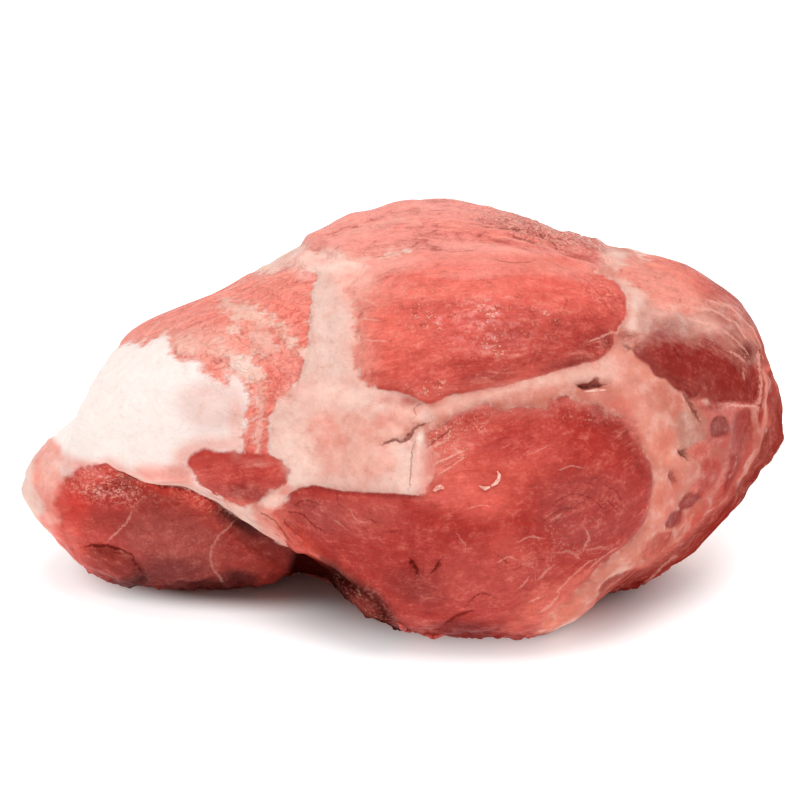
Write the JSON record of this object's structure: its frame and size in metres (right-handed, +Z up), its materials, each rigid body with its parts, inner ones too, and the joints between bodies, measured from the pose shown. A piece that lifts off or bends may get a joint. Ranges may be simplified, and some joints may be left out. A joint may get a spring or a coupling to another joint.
{
  "type": "boneless pork leg",
  "caption": "Raw boneless pork leg, trimmed of rind, lying on its side, with lean muscles, seams and a cap of white fat.",
  "frame": {"origin": "bottom centre of the bounding box, on the surface that the leg lies on", "axes": "+Z up, +X along the leg from the narrow shank end to the rump end, -Y towards the large cut face"},
  "size_m": [0.3256, 0.2012, 0.1565],
  "materials": {
    "raw_meat": "moist raw lean and fat, satin with small wet highlights"
  },
  "bodies": {
    "root": {"pork_leg": "raw_meat"}
  },
  "joints": []
}
